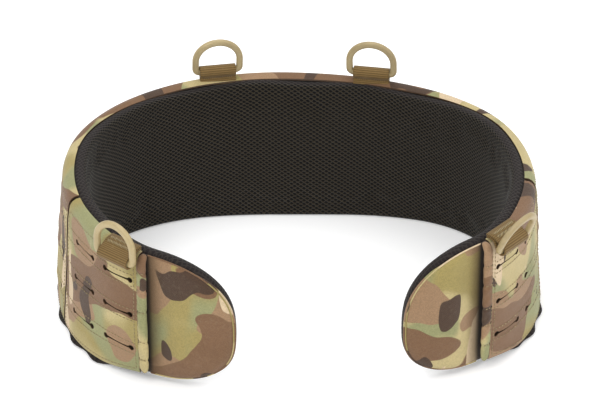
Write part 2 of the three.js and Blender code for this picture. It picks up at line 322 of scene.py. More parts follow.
def copies(name, model, places, ways, faces=None):
    """Copies of a small model at each place, turned so that its x runs along each way, as one mesh."""
    base = points_of(model)
    polygons = [tuple(p.vertices) for p in model.data.polygons]
    ways = np.asarray(ways, float)
    ways = ways / np.linalg.norm(ways, axis=1)[:, None]
    faces = np.tile((0.0, 1.0, 0.0), (len(ways), 1)) if faces is None else np.asarray(faces, float)
    sides = np.cross(ways, faces)
    all_points, all_faces = [], []
    for i, place in enumerate(places):
        turned = base[:, :1] * ways[i] + base[:, 1:2] * faces[i] + base[:, 2:] * sides[i]
        all_faces += [tuple(v + i * len(base) for v in p) for p in polygons]
        all_points.append(turned + place)
    mesh = bpy.data.meshes.new(name)
    mesh.from_pydata(np.concatenate(all_points).tolist(), [], all_faces)
    piece = placed(name, mesh)
    in_edit(piece, OUTWARD)
    return piece


# Materials


def linear(red, green, blue):
    """An sRGB colour, 0 to 255, as linear red, green, blue and alpha."""
    values = []
    for channel in (red, green, blue):
        v = channel / 255
        values.append(v / 12.92 if v <= 0.04045 else ((v + 0.055) / 1.055) ** 2.4)
    return (*values, 1)


class Tree:
    """A node tree, with short ways to add nodes, set their sockets and link them."""

    def __init__(self, tree):
        self.tree = tree

    def add(self, kind, inputs=(), **settings):
        node = self.tree.nodes.new(kind)
        for key, value in settings.items():
            setattr(node, key, value)
        for key, value in dict(inputs).items():
            self.feed(node.inputs[key], value)
        return node

    def feed(self, socket, value):
        if isinstance(value, bpy.types.NodeSocket):
            self.tree.links.new(value, socket)
        else:
            socket.default_value = value

    def math(self, operation, *values):
        node = self.add("ShaderNodeMath", operation=operation)
        for socket, value in zip(node.inputs, values):
            self.feed(socket, value)
        return node.outputs[0]

    def ramp(self, value, low, high, start=0.0, end=1.0):
        node = self.add(
            "ShaderNodeMapRange",
            {"Value": value, "From Min": low, "From Max": high, "To Min": start, "To Max": end},
            interpolation_type="SMOOTHSTEP",
        )
        return node.outputs["Result"]

    def mix(self, share, a, b, blend="MIX"):
        node = self.add("ShaderNodeMix", data_type="RGBA", blend_type=blend)
        for socket, value in zip((node.inputs[0], node.inputs[6], node.inputs[7]), (share, a, b)):
            self.feed(socket, value)
        return node.outputs[2]

    def mapping(self, vector, location=(0, 0, 0), scale=(1, 1, 1), rotation=(0, 0, 0)):
        inputs = {"Vector": vector, "Location": location, "Scale": scale, "Rotation": rotation}
        return self.add("ShaderNodeMapping", inputs).outputs[0]

    def tint(self, colour, share, amount, other):
        """The colour, with another sRGB colour laid over it by an amount of a share."""
        return self.mix(self.math("MULTIPLY", share, amount), colour, linear(*other))

    def use(self, tree, **inputs):
        return self.add("ShaderNodeGroup", inputs, node_tree=tree).outputs

    def noise(self, vector, scale, detail=2.0):
        inputs = {"Vector": vector, "Scale": scale, "Detail": detail, "Roughness": 0.5}
        return self.add("ShaderNodeTexNoise", inputs).outputs[0]

    def humps(self, value):
        """Half waves, one from each whole number to the next."""
        return self.math("ABSOLUTE", self.math("SINE", self.math("MULTIPLY", value, math.pi)))

    def wave(self, vector, pitch, direction):
        """Ribs at a pitch in metres."""
        inputs = {"Vector": vector, "Scale": math.pi / 10 / pitch, "Distortion": 0.0}
        return self.add("ShaderNodeTexWave", inputs, bands_direction=direction).outputs["Fac"]


def group(name, inputs, outputs, build):
    """A shader node group. Its sockets are numbers, but for those named Vector or Color."""
    tree = bpy.data.node_groups.new(name, "ShaderNodeTree")
    for way, labels in (("INPUT", inputs), ("OUTPUT", outputs)):
        for label in labels:
            kind = label if label in ("Vector", "Color") else "Float"
            tree.interface.new_socket(name=label, in_out=way, socket_type="NodeSocket" + kind)
    t = Tree(tree)
    source = t.add("NodeGroupInput")
    sink = t.add("NodeGroupOutput")
    for label, value in build(t, source.outputs).items():
        t.feed(sink.inputs[label], value)
    return tree


def build_patch(t, given):
    """Soft-cornered printed patches, from noise that is bent by coarser noise."""
    coarse = {"Vector": given["Vector"], "Scale": 38.0, "Detail": 1.0}
    bent = t.add("ShaderNodeTexNoise", coarse)
    centred = {0: bent.outputs["Color"], 1: (0.5, 0.5, 0.5)}
    offset = t.add("ShaderNodeVectorMath", centred, operation="SUBTRACT").outputs[0]
    scaled = {0: offset, 1: (0.02, 0.02, 0.02), 2: given["Vector"]}
    pushed = t.add("ShaderNodeVectorMath", scaled, operation="MULTIPLY_ADD")
    field = t.add(
        "ShaderNodeTexNoise",
        {"Vector": pushed.outputs[0], "Scale": given["Scale"], "Detail": 0.6, "W": given["Seed"]},
        noise_dimensions="4D",
    ).outputs[0]
    top = t.math("ADD", given["Threshold"], given["Softness"])
    return {"Mask": t.ramp(field, given["Threshold"], top)}


SHAPE = ("Vector", "Scale", "Threshold", "Softness", "Seed")
PATCH = group("printed patches", SHAPE, ("Mask",), build_patch)


def build_weave(t, given):
    """Plain weave: threads that pass over and under each other, and a fleck that differs by thread."""
    parts = t.add("ShaderNodeSeparateXYZ", {0: given["Vector"]}).outputs
    along = t.math("DIVIDE", parts["X"], given["Pitch"])
    up = t.math("DIVIDE", parts["Z"], given["Pitch"])
    lane, row = t.math("FLOOR", along), t.math("FLOOR", up)
    over = t.math("PINGPONG", t.math("ADD", lane, row), 1.0)
    warp = t.math("MULTIPLY", over, t.humps(along))
    weft = t.math("MULTIPLY", t.math("SUBTRACT", 1.0, over), t.humps(up))
    height = t.math("ADD", warp, weft)
    cell = t.add("ShaderNodeCombineXYZ", {0: lane, 1: row, 2: 0.0}).outputs[0]
    fleck = t.add("ShaderNodeTexWhiteNoise", {"Vector": cell}, noise_dimensions="2D").outputs["Value"]
    return {"Height": height, "Fleck": fleck}


WEAVE = group("plain weave", ("Vector", "Pitch"), ("Height", "Fleck"), build_weave)


def build_wear(t, given):
    """Handling marks: broad cloudy soiling, and fine dust caught on the surface."""
    broad = t.noise(given["Vector"], 22.0, 3.0)
    fine = t.noise(given["Vector"], 420.0, 4.0)
    soil = t.ramp(broad, 0.35, 0.75)
    dust = t.math("MULTIPLY", t.ramp(fine, 0.5, 0.8), t.ramp(broad, 0.3, 0.7, 1.0, 0.4))
    return {"Soil": soil, "Dust": dust}


WEAR = group("handling wear", ("Vector",), ("Soil", "Dust"), build_wear)

SAND = linear(186, 170, 122)
# Inks over the sand: colour, then scale, threshold, softness, seed and stretch of their patches
INKS = {
    "straw": (linear(154, 139, 84), 19.0, 0.47, 0.07, 1.7, (0.8, 1, 1)),
    "sage": (linear(143, 143, 100), 24.0, 0.53, 0.08, 8.3, (1, 1, 0.8)),
    "clay": (linear(150, 120, 90), 26.0, 0.53, 0.006, 33.7, (0.9, 1, 1.1)),
    "bark": (linear(118, 88, 62), 23.0, 0.54, 0.006, 4.1, (0.75, 1, 1.15)),
    "dark bark": (linear(72, 53, 39), 38.0, 0.62, 0.006, 12.9, (1, 1, 0.7)),
    "blush": (linear(205, 183, 150), 34.0, 0.63, 0.006, 21.4, (1.5, 1, 0.55)),
}


def build_print(t, given):
    """An arid camouflage print: soft grounds of sand, straw and sage, with clay, bark and blush on them.

    Bareness above 0 leaves more of the sand showing."""
    colour = SAND
    for ink, scale, threshold, softness, seed, stretch in INKS.values():
        place = t.mapping(given["Vector"], scale=[0.88 * v for v in stretch])
        level = t.math("ADD", given["Bareness"], threshold)
        mask = t.use(PATCH, Vector=place, Scale=scale, Threshold=level, Softness=softness, Seed=seed)
        colour = t.mix(mask["Mask"], colour, ink)
    return {"Color": colour}


CAMO = group("arid print", ("Vector", "Bareness"), ("Color",), build_print)


def surface(name, follows="cloth", **settings):
    """A new material, its tree, its shader, and the coordinates that its pattern follows.

    Cloth follows its own flat points, and hard or tiny pieces follow Object coordinates."""
    material = bpy.data.materials.new(name)
    material.use_nodes = True
    t = Tree(material.node_tree)
    shader = next(n for n in t.tree.nodes if n.type == "BSDF_PRINCIPLED")
    for key, value in settings.items():
        shader.inputs[key].default_value = value
    if follows == "cloth":
        place = t.add("ShaderNodeAttribute", attribute_name="cloth").outputs["Vector"]
    else:
        place = t.add("ShaderNodeTexCoord").outputs["Object"]
    return material, t, shader, place


def dress(t, shader, colour, height, distance, strength, **others):
    """Feeds the shader its colour, its fine relief and whatever else varies."""
    relief = t.add("ShaderNodeBump", {"Height": height, "Distance": distance, "Strength": strength})
    for socket, value in {"Base Color": colour, "Normal": relief.outputs[0], **others}.items():
        t.feed(shader.inputs[socket], value)


def camo_cloth(name, place, pitch, depth, roughness, bareness, painted_shade):
    """Printed cloth: the print laid at its own place on each piece, over a weave of a given pitch.

    With painted shade, the part that lies behind the panel and in the sleeve's mouth is painted near-black
    as shadow, and the cloth beside the hem is painted darker as shade, where it dives under."""
    look = {"Sheen Weight": 0.1, "Sheen Roughness": 0.5, "Specular IOR Level": 0.3}
    material, t, shader, cloth = surface(name, **look)
    colour = t.use(CAMO, Vector=t.mapping(cloth, location=place), Bareness=bareness)["Color"]
    weave = t.use(WEAVE, Vector=cloth, Pitch=pitch)
    wear = t.use(WEAR, Vector=cloth)
    shade = t.math("ADD", 0.86, t.math("MULTIPLY", weave["Fleck"], 0.2))
    shade = t.math("SUBTRACT", shade, t.math("MULTIPLY", wear["Soil"], 0.08))
    tone = t.add("ShaderNodeCombineColor", {0: shade, 1: shade, 2: shade}).outputs[0]
    colour = t.mix(1.0, colour, tone, "MULTIPLY")
    colour = t.tint(colour, wear["Dust"], 0.05, (214, 202, 174))
    # Painted shade: near-black behind the panel and in the sleeve's mouth, and a darker brown beside the
    # hem, where shadow falls
    if painted_shade:
        along = t.math("ABSOLUTE", t.add("ShaderNodeSeparateXYZ", {0: cloth}).outputs["X"])
        painted_crease_shade = t.ramp(along, FLAP_START * MM, (FLAP_START + 11) * MM, 0.55, 0.0)
        behind = t.ramp(along, (FLAP_START - 3) * MM, (FLAP_START + 1.5) * MM, 1.0, 0.0)
        colour = t.mix(painted_crease_shade, colour, linear(84, 64, 38))
        colour = t.mix(behind, colour, linear(44, 34, 26))
    roughness = t.ramp(wear["Soil"], 0.0, 1.0, roughness, roughness + 0.1)
    dress(t, shader, colour, weave["Height"], depth, 0.6, Roughness=roughness)
    return material


def spacer_mesh():
    """Black spacer mesh: small lozenge cells between crossed threads, in rows that sway a little.

    The turned rim is plainer, and so is the mesh on the flaps."""
    look = {"Sheen Weight": 0.09, "Sheen Roughness": 0.4, "Specular IOR Level": 0.2}
    material, t, shader, cloth = surface("spacer mesh", **look)
    parts = t.add("ShaderNodeSeparateXYZ", {0: cloth}).outputs
    sway = t.math("MULTIPLY", t.math("SINE", t.math("MULTIPLY", parts["X"], 62.0)), 0.0012)
    up = t.math("DIVIDE", t.math("ADD", parts["Z"], sway), 0.0029)
    along = t.math("DIVIDE", parts["X"], 0.0045)
    rise = t.humps(t.math("ADD", along, up))
    fall = t.humps(t.math("SUBTRACT", along, up))
    hole = t.ramp(t.math("MULTIPLY", rise, t.math("POWER", fall, 0.7)), 0.16, 0.58)
    wear = t.use(WEAR, Vector=cloth)
    fibre = t.noise(cloth, 1500.0, 2.0)
    thread = t.mix(fibre, linear(33, 28, 20), linear(68, 59, 43))
    colour = t.mix(hole, thread, linear(10, 9, 9))
    flap = t.ramp(t.math("ABSOLUTE", parts["X"]), 0.3, 0.345, 0.0, 0.6)
    rim = t.ramp(parts["Y"], -0.0139, -0.0129, 0.0, 0.75)
    plain = t.math("MAXIMUM", flap, rim)
    colour = t.mix(plain, colour, linear(37, 32, 32))
    colour = t.tint(colour, wear["Dust"], 0.06, (104, 98, 90))
    relief = t.math("MULTIPLY", t.math("SUBTRACT", 1.0, hole), t.math("SUBTRACT", 1.0, plain))
    dress(t, shader, colour, relief, 0.0009, 0.9, Roughness=t.ramp(hole, 0.0, 1.0, 0.72, 0.95))
    return material


def webbing():
    """Coyote webbing: ribs across its width, with a fine twill along each rib."""
    look = {"Sheen Weight": 0.15, "Sheen Roughness": 0.4}
    material, t, shader, cloth = surface("coyote webbing", **look)
    rib = t.wave(cloth, 0.0013, "Z")
    twill = t.wave(t.mapping(cloth, rotation=(0, math.radians(38), 0)), 0.0008, "X")
    weave = t.math("ADD", rib, t.math("MULTIPLY", twill, 0.5))
    wear = t.use(WEAR, Vector=cloth)
    colour = t.mix(t.ramp(weave, 0.2, 1.3), linear(84, 63, 27), linear(124, 96, 46))
    colour = t.tint(colour, wear["Soil"], 0.3, (94, 78, 46))
    colour = t.tint(colour, wear["Dust"], 0.15, (176, 158, 112))
    dress(t, shader, colour, weave, 0.0002, 0.6, Roughness=t.ramp(weave, 0.0, 1.5, 0.9, 0.7))
    return material


def coated_metal():
    """Tan powder coat over wire: fine orange peel, with the coat rubbed thin on the wire's outer edges."""
    look = {"Coat Weight": 0.15, "Coat Roughness": 0.3}
    material, t, shader, place = surface("tan powder coat", "Object", **look)
    wear = t.use(WEAR, Vector=place)
    peel = t.noise(place, 1400.0, 2.0)
    edge = t.add("ShaderNodeNewGeometry").outputs["Pointiness"]
    scuffed = t.ramp(t.noise(place, 260.0, 4.0), 0.45, 0.62)
    rubbed = t.math("MULTIPLY", t.ramp(edge, 0.52, 0.6), scuffed)
    colour = t.mix(wear["Soil"], linear(168, 150, 108), linear(148, 130, 92))
    colour = t.tint(colour, wear["Dust"], 0.35, (190, 174, 138))
    colour = t.tint(colour, rubbed, 0.8, (118, 108, 92))
    roughness = t.ramp(wear["Soil"], 0.0, 1.0, 0.38, 0.52)
    metallic = t.math("MULTIPLY", rubbed, 0.7)
    dress(t, shader, colour, peel, 0.00006, 0.5, Roughness=roughness, Metallic=metallic)
    return material


def sewing_thread(name, light, dark):
    """Bonded thread: two plies twisted together."""
    material, t, shader, place = surface(name, "Object", **{"Sheen Weight": 0.2})
    ply = t.wave(t.mapping(place, rotation=(0.6, 0.5, 0.7)), 0.0007, "X")
    colour = t.mix(ply, linear(*dark), linear(*light))
    dress(t, shader, colour, ply, 0.0001, 0.6, Roughness=t.ramp(ply, 0.0, 1.0, 0.8, 0.55))
    return material


def sealed_edge():
    """Laminate where a laser has cut and sealed it: dark, glazed and a little uneven."""
    material, t, shader, place = surface("sealed edge", "Object", Roughness=0.5)
    char = t.noise(place, 900.0, 3.0)
    dress(t, shader, t.mix(char, linear(42, 30, 21), linear(92, 68, 46)), char, 0.0001, 0.6)
    return material


def floor_paint():
    """Near-white floor that glows faintly, so that only the contact shadow shows."""
    material, t, shader, place = surface("pale floor", "Object", Roughness=0.9)
    colour = t.mix(t.noise(place, 3.0), (0.9, 0.9, 0.9, 1), (0.93, 0.93, 0.93, 1))
    for socket in ("Base Color", "Emission Color"):
        t.feed(shader.inputs[socket], colour)
    t.feed(shader.inputs["Emission Strength"], 0.22)
    return material


MESH = spacer_mesh()
# Printed cloths: place of the print, pitch and depth of the weave, roughness and bareness
CLOTH = {
    # Only the flap cloth gets painted shade behind the panel and beside the hem
    word: camo_cloth(f"printed {word}", *row, painted_shade=word == "flap cloth")
    for word, row in {
        "flap cloth": ((2.33, 0.0, 1.81), 0.0007, 0.00025, 0.8, -0.004),
        "laminate left": ((3.44, 0.0, 2.68), 0.0005, 0.00012, 0.62, 0.012),
        "laminate back": ((0.05, 0.0, 0.4), 0.0005, 0.00012, 0.62, 0.018),
        "laminate right": ((0.11, 0.0, 0.07), 0.0005, 0.00012, 0.62, 0.012),
        "hem cloth": ((0.9, 0.0, 0.77), 0.0006, 0.0002, 0.75, 0.0),
    }.items()
}
WEBBING = webbing()
COATED = coated_metal()
SEALED = sealed_edge()
THREAD = sewing_thread("tan thread", (160, 142, 98), (104, 88, 58))
BROWN_THREAD = sewing_thread("brown thread", (128, 104, 66), (84, 66, 40))


# Pad and flaps


def belt_columns(step):
    """Places along the belt, closer together where a flap's end rounds."""
    body = np.linspace(-FLAP_START, FLAP_START, 2 * round(FLAP_START / step) + 1)
    angle = np.linspace(0, math.radians(88.5), 25)[1:]
    share = np.sin(angle) ** (2 / TIP_SPACING)
    left = -(FLAP_START + share * (BELT_END[-1] - FLAP_START))
    right = FLAP_START + share * (BELT_END[1] - FLAP_START)
    return np.concatenate([left[::-1], body, right])


def edge_rows(near, count):
    """Shares of the half height from -1 to 1, with rows at the given distances from each edge."""
    half_height = 48
    inner = 1 - max(near) / half_height
    middle = np.linspace(-inner, inner, count)
    close = 1 - np.array(sorted(near, reverse=True)[1:]) / half_height
    return np.concatenate([-close[::-1], middle, close])


def height_at(s, share):
    """Height of a row that lies at a share of the way from the tip's height to an edge."""
    low, high, into = edges(s)
    reach, power = reach_to_edge(share > 0, low, high)
    return TIP_HEIGHT + share * reach * (1 - into**power) ** (1 / power)


def pad_grid(name, step, near, count, scale=1.0):
    columns = belt_columns(step)
    rows = edge_rows(near, count) * scale

    def place(u, v):
        s = columns[np.rint(u * (len(columns) - 1)).astype(int)]
        share = rows[np.rint(v * (len(rows) - 1)).astype(int)]
        return np.stack([s, np.zeros(len(s)), height_at(s, share)], axis=1)

    return flat_grid(name, len(columns) - 1, len(rows) - 1, place)


def back_share(s):
    """How much of the cloth's top edge folds over the pad: all of it at the back, none at the front."""
    return 1 - 0.85 * ease((np.abs(s) - 70) / 120) - 0.15 * ease((np.abs(s) - 190) / 60)


def foot_share(s):
    """How much of the foot's bulge shows: all of it below the panel, none on the flaps."""
    return 1 - ease((np.abs(s) - 300) / 20)


def make_pad():
    """The foam pad in its mesh: rounded rim, and a foot that bulges out in scallops below the panel."""
    pad = pad_grid("spacer_pad", 3.4, (0, 0.3, 0.8, 1.5, 2.6, 4.2), 26)
    modify(pad, "SOLIDIFY", thickness=PAD, offset=-1)
    s, n, z = points_of(pad).T
    near, reach = rim_share(s, z)
    in_from_rim = (1 - near) * reach
    gap = np.clip(in_from_rim, 0, 3)
    rounded = 0.12 + 0.88 * np.sqrt(1 - (1 - gap / 3) ** 2)
    outside = n > -PAD / 2
    middle = -WALL + PAD / 2
    n = middle + np.where(outside, 1, -1) * PAD / 2 * rounded
    soft = ease(in_from_rim / 12)
    wavy = 0.35 * ripple(s * 0.6, z * 0.8) + 0.25 * np.sin(s * 0.021 + 0.4)
    n = np.where(outside, n, n + soft * wavy)
    low = column(EDGES, 1, s)
    scallop = 0.62 + 0.38 * np.sin(s * 0.205 + 1.1 * np.sin(s * 0.043))
    bulge = foot_share(s) * (1 - ease((z - low - 1.5) / 5)) * (5.6 + 3.4 * scallop)
    n = np.where(outside, n + bulge * ease((z - low) / 1.2 + 0.55), n)
    tucked = BACK_TUCK * back_share(s) * ease((z - 60) / 40)
    tucked = tucked * (1 + 0.25 * np.sin(s * 0.075 + 0.6 * np.sin(s * 0.031)))
    put_points(pad, np.stack([s, n, z - tucked], axis=1))
    puff(pad, held=1 - ease((in_from_rim - 3) / 12) * ~outside, cap=1.5)
    s, n, z = points_of(pad).T
    turned = np.sign(s) * ease((np.abs(s) - FLAP_START) / 30) * (n + WALL - PAD / 2)
    bend(pad, pattern=np.stack([s + turned, n, z + n], axis=1))
    finish(pad, MESH, stands_for=["mesh_lining"])


def make_flap_cloth():
    """Printed cloth over the pad: plain behind the panel, and pillowed on both flaps."""
    cloth = pad_grid("flap_cloth", 4.5, (0, 0.4, 1, 2, 3.4, 6), 24, scale=CLOTH_REACH)
    s, _, z = points_of(cloth).T
    near, reach = rim_share(s, z)
    flap = ease((np.abs(s) - FLAP_START - 5) / 17)
    covered = 1 - ease((np.abs(s) - HEM_START - 4) / 6)
    inside = (CLOTH_REACH + 0.007 - near) * reach
    turn_in = np.sin(np.clip(inside / 3.2, 0, 1) * math.pi / 2)
    pillow = 3.4 * (1 - np.clip(near, 0, 1) ** 2.4)
    face = -6.3 + (0.3 + 1.2 * flap) * turn_in + flap * pillow * turn_in
    face += flap * turn_in * ripple(s * 1.7, z) * 0.9
    tuck = covered * np.clip(inside / 14, 0, 1)
    put_points(cloth, np.stack([s, face - 0.2 * tuck, z], axis=1))
    modify(cloth, "SOLIDIFY", thickness=1.2, offset=-1)
    bend(cloth)
    finish(cloth, CLOTH["flap cloth"], stands_for=["pad_shell"])


def flap_outline(side, share, start, count):
    """Places on a flap's outline, from its top edge round the tip to its lower edge."""
    end = BELT_END[side]
    angle = np.linspace(0, math.pi, count)
    along = np.abs(np.sin(angle)) ** (2 / TIP_SPACING)
    reached = 1 - (1 - share) * 0.8
    s = start + along * (end - start) * reached
    low, high, into = edges(side * s)
    into = np.clip(into / reached, 0, 1)
    above = np.cos(angle) > 0
    reach, power = reach_to_edge(above, low, high)
    narrow = np.clip(1 - into**power, 0, 1) ** (1 / power)
    return side * s, TIP_HEIGHT + np.where(above, share, -share) * reach * narrow


def even_path(points, step=None, count=None):
    """The path again, with points an even step apart, or a count of them from its start."""
    gaps = np.linalg.norm(np.diff(points, axis=0), axis=1)
    along = np.concatenate([[0], np.cumsum(gaps)])
    at = np.arange(count) * along[-1] / count if count else np.arange(step / 2, along[-1], step)
    return np.stack([np.interp(at, along, values) for values in points.T], axis=1)


def make_piping(side, word):
    """The thin folded edge where the flap's cloth meets the mesh rim."""
    s, z = flap_outline(side, CLOTH_REACH + 0.001, HEM_START + 4, 160)
    path = even_path(np.stack([s, np.full(len(s), -6.1), z], axis=1), 1.5)
    curve = bpy.data.curves.new("piping", "CURVE")
    curve.dimensions = "3D"
    spline = curve.splines.new("POLY")
    spline.points.add(len(path) - 1)
    for point, place in zip(spline.points, path):
        point.co = (*place, 1)
    curve.bevel_depth = 0.5
    curve.bevel_resolution = 2
    curve.use_fill_caps = True
    active(placed(f"flap_piping_{word}", curve))
    bpy.ops.object.convert(target="MESH")
    piece = bpy.context.object
    bend(piece)
    finish(piece, CLOTH["hem cloth"])


# Load panel


def make_cutter(centres):
    """Dog-bone cutters for a block of slots, in columns at these places along the belt."""
    half = SLOT["length"] / 2 - SLOT["eye"]
    mouth = math.asin(SLOT["width"] / 2 / SLOT["eye"])
    turns = 11
    outline = []
    for end in (1, -1):
        first = -math.pi + mouth if end > 0 else mouth
        for i in range(turns + 1):
            angle = first + (2 * math.pi - 2 * mouth) * i / turns
            outline.append((end * half + SLOT["eye"] * math.cos(angle), SLOT["eye"] * math.sin(angle)))
    size = {"vertices": len(outline), "radius": 1, "fill_type": "NGON"}
    cutter = primitive(bpy.ops.mesh.primitive_circle_add, "slot_cutter", **size)
    put_points(cutter, [(x, -4, z) for x, z in outline])
    move = {"TRANSFORM_OT_translate": {"value": (0, 8, 0)}}
    in_edit(cutter, (bpy.ops.mesh.extrude_region_move, move))
    in_edit(cutter, OUTWARD)
    pitch = centres[1] - centres[0]
    for count, offset in ((len(centres), (pitch, 0, 0)), (ROWS, (0, 0, ROW_PITCH))):
        modify(
            cutter, "ARRAY", count=count, use_relative_offset=False,
            use_constant_offset=True, constant_offset_displace=offset,
        )
    put_points(cutter, points_of(cutter) + (centres[0], 0, FIRST_ROW))
    cutter.data.materials.append(SEALED)
    return cutter


def slot_lips(s, z, centres):
    """How far the cloth stands off beside a slot: the upper lip lifts and the lower one sinks."""
    lift = np.zeros(len(s))
    for centre in centres:
        along = np.clip(1 - ((s - centre) / (SLOT["length"] / 2)) ** 2, 0, 1)
        for row in range(ROWS):
            away = z - FIRST_ROW - row * ROW_PITCH
            lift += along * np.where(away > 0, 0.9, -0.5) * np.exp(-((away / 2.8) ** 2))
    return lift


def panel_relief(s, z, centres):
    """How far the laid panel stands off its flat face: ripples and slot lips, none at its sewn edges."""
    low, high, _ = edges(s)
    body = ease((z - low - 3) / 10) * ease((high - ROLL - z) / 10 + 0.2)
    return body * (ripple(s, z) * 1.3 + slot_lips(s, z, centres))


def make_panel(word, start, end, centres):
    """A section of the slotted laminate: cut flat, then its top rolled in to the seam."""
    columns = round((end - start) / 2.9)  # one every 2.9 mm
    rows = 36
    radius = ROLL - 0.1

    def place(u, v):
        s = start + u * (end - start)
        low, high, _ = edges(s)
        top = high - ROLL + radius * math.pi / 2 + 0.3 + 3.6 * back_share(s)
        return np.stack([s, np.zeros(len(s)), low + 3.4 + v * (top - low - 3.4)], axis=1)

    panel = flat_grid(f"load_panel_{word}", columns, rows, place)
    panel.data.materials.append(CLOTH[f"laminate {word}"])
    panel.data.materials.append(SEALED)
    modify(panel, "SOLIDIFY", thickness=PANEL, offset=-1, material_offset_rim=1)
    cutter = make_cutter(centres)
    cut_through = {"operation": "DIFFERENCE", "solver": "EXACT", "material_mode": "TRANSFER"}
    modify(panel, "BOOLEAN", object=cutter, **cut_through)
    bpy.data.objects.remove(cutter)
    cut = points_of(panel)
    s, n, z = cut.T
    low, high, _ = edges(s)
    edge = high - ROLL
    turn = np.clip((z - edge) / radius, 0, math.pi / 2)
    n = n + panel_relief(s, z, centres) * (turn == 0)
    n = n - 0.9 * np.clip((low + 6 - z) / 3, 0, 1) ** 2
    rolled = turn > 0
    over = np.maximum(0, z - edge - radius * math.pi / 2)
    face = np.where(rolled, -radius + (radius + n) * np.cos(turn) - over, n)
    height = np.where(rolled, edge + (radius + n) * np.sin(turn) - 0.5 * over, z)
    put_points(panel, np.stack([s, face, height], axis=1))
    bend(panel, pattern=cut)
    finish(panel, stands_for=[f"molle_panel_{word}"], sharp=35)


# Sewing


def make_stitch():
    """One machine stitch, a small plump capsule along x."""
    size = {"segments": 6, "ring_count": 4, "radius": 1}
    stitch = primitive(bpy.ops.mesh.primitive_uv_sphere_add, "stitch", **size)
    points = points_of(stitch)[:, [2, 1, 0]]
    put_points(stitch, points * (1.05, 0.26, 0.3))
    in_edit(stitch, OUTWARD)
    return stitch


STITCH = make_stitch()


def row_of(start, end, step=STITCH_PITCH):
    """Middles of the stitches in a row between two flat places."""
    start, end = np.array(start, float), np.array(end, float)
    length = np.linalg.norm(end - start)
    count = max(2, round(length / step))
    share = (np.arange(count) + 0.5) / count
    return start + share[:, None] * (end - start), np.tile((end - start) / length, (count, 1))


def panel_rows(start, end):
    """Stitch rows on one section: a pair along each row of slots, and one inside each edge."""
    rows = []
    for row in range(ROWS):
        for away in (-4.2, 4.2):
            z = FIRST_ROW + row * ROW_PITCH + away
            rows.append(row_of((start + 3, 0, z), (end - 3, 0, z)))
    for s in (start + 2.4, end - 2.4):
        low, high = edges_at(s)
        rows.append(row_of((s, 0, low + 6), (s, 0, high - ROLL - 1)))
    for fraction in (0, 1):
        places, ways = row_of((start + 3, 0, 0), (end - 3, 0, 0))
        low, high, _ = edges(places[:, 0])
        places[:, 2] = low + 6.2 if fraction == 0 else high - ROLL - 0.8
        rows.append((places, ways))
    return rows


def sew(name, rows):
    """Rows of stitches on a flat piece, as one piece that is bent as it is."""
    piece = copies(name, STITCH, *(np.concatenate(part) for part in zip(*rows)))
    bend(piece)
    finish(piece, THREAD)


def make_panel_stitching(sections):
    rows = []
    for _, start, end, centres in sections:
        for places, ways in panel_rows(start, end):
            places[:, 1] = panel_relief(places[:, 0], places[:, 2], centres) + 0.12
            rows.append((places, ways))
    sew("panel_stitching", rows)


# Hems at the sleeve's mouth


def make_hem(side, word):
    """The folded hem: a soft flattened roll with cross folds where it is sewn down."""
    low, high = edges_at(HEM_START)
    low, high = low + 4, high - 0.6
    around, up = 24, 100
    radius = 5.6
    length = high - radius - low + radius * math.pi / 2
    folds = (0.14, 0.31, 0.45, 0.64, 0.8) if side > 0 else (0.12, 0.27, 0.52, 0.7, 0.84)

    def place(u, v):
        angle = 2 * math.pi * u * side
        h = v * length
        pinch = sum(np.exp(-(((h - f * length) / 1.3) ** 2)) for f in folds)
        lumps = 0.1 * np.sin(h * 0.44 + side) + 0.07 * np.sin(h * 0.81 + 2 * np.cos(angle))
        puffed = 1 - 0.42 * pinch + lumps
        close = np.sqrt(np.clip(1 - np.abs(2 * v - 1) ** 14, 0.02, 1))
        sway = 0.7 * np.sin(h * 0.13 + 0.8 * side) + 0.35 * np.sin(h * 0.37 + 1)
        s = HEM_START + 3.2 + 0.4 * sway + 3.4 * np.cos(angle) * close * (1 - 0.12 * pinch)
        n = -0.6 + 2.1 * np.sin(angle) * puffed * close + 0.35 * sway
        turn = np.clip((h - (high - radius - low)) / radius, 0, math.pi / 2)
        over = turn > 0
        z = np.where(over, high - radius + (radius + n) * np.sin(turn), low + h)
        return np.stack([side * s, np.where(over, -radius + (radius + n) * np.cos(turn), n), z], axis=1)

    hem = flat_grid(f"panel_hem_{word}", around, up, place)
    in_edit(
        hem,
        (bpy.ops.mesh.remove_doubles, {"threshold": 0.001}),
        (bpy.ops.mesh.select_non_manifold, {"extend": False}),
        (bpy.ops.mesh.edge_face_add, {}),
        (bpy.ops.mesh.select_all, {"action": "SELECT"}),
        OUTWARD,
    )
    bend(hem)
    finish(hem, CLOTH["hem cloth"], stands_for=[f"sleeve_hem_{word}"])
    rows = [row_of((side * (HEM_START + 0.6), 0.75, low + 3), (side * (HEM_START + 0.6), 0.75, high - 8))]
    for fold in folds:
        z = low + fold * length
        rows.append(row_of((side * (HEM_START + 1), 0.9, z), (side * (HEM_START + 6), 0.7, z), 2.2))
    sew(f"hem_stitching_{word}", rows)


# Webbing tabs and rings


def bar_plane(bar):
    """The middle of a ring's bar in the row frame, in millimetres, and the ways along and outward."""
    heading = float(np.interp(bar[0], PLAN_POINTS[:, 0], PLAN_POINTS[:, 3]))
    along = np.array([math.cos(heading), math.sin(heading), 0])
    out = np.array([-along[1], along[0], 0])
    return wrap(bar)[0] + SHIFT, along, out


def rounded_path(points, count):
    """A smooth path through points, by a spline that passes through each of them."""
    points = np.array(points, float)
    padded_points = np.vstack([2 * points[0] - points[1], points, 2 * points[-1] - points[-2]])
    out = []
    for i in range(len(points) - 1):
        p0, p1, p2, p3 = padded_points[i : i + 4]
        for t in np.linspace(0, 1, count, endpoint=False):
            a = 2 * p1 + (p2 - p0) * t
            b = (2 * p0 - 5 * p1 + 4 * p2 - p3) * t * t
            c = (3 * p1 - p0 - 3 * p2 + p3) * t**3
            out.append((a + b + c) / 2)
    out.append(points[-1])
    return np.array(out)


